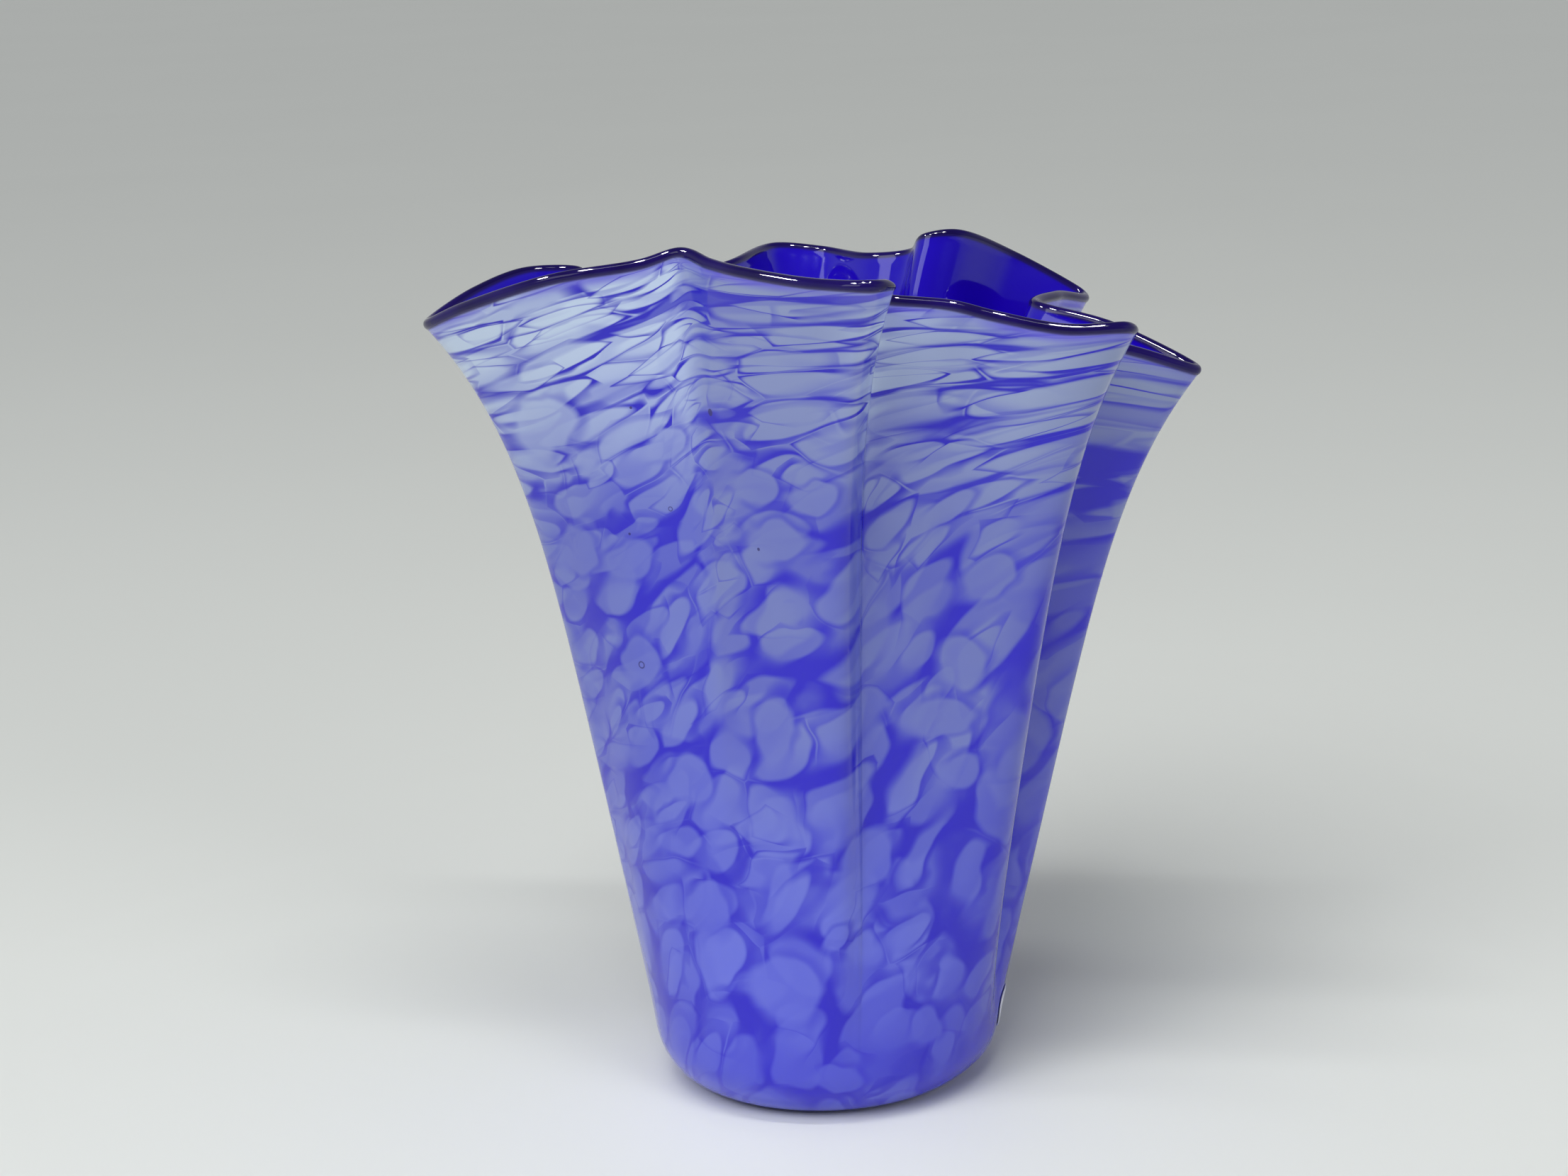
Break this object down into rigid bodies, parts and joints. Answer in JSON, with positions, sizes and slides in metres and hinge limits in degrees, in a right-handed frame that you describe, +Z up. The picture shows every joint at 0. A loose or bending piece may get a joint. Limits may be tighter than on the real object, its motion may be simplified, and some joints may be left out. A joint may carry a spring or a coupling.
{
  "type": "handkerchief vase",
  "caption": "Blown-glass handkerchief vase with a round foot, a flaring wall and a mouth folded into soft unequal corners, with a rounded rim bead.",
  "frame": {"origin": "middle of the flat face that the vase stands on", "axes": "+Z up along the foot's axis; -Y towards the narrow front corner, the side seen from the front; +X to its right"},
  "size_m": [0.2428, 0.2218, 0.2814],
  "materials": {
    "glass": "glossy cobalt glass with pale blue-white flakes in the outer layer and a dark fire-polished rim",
    "paper": "blank white paper sticker"
  },
  "bodies": {
    "root": {"vase": "glass", "label": "paper"}
  },
  "joints": []
}
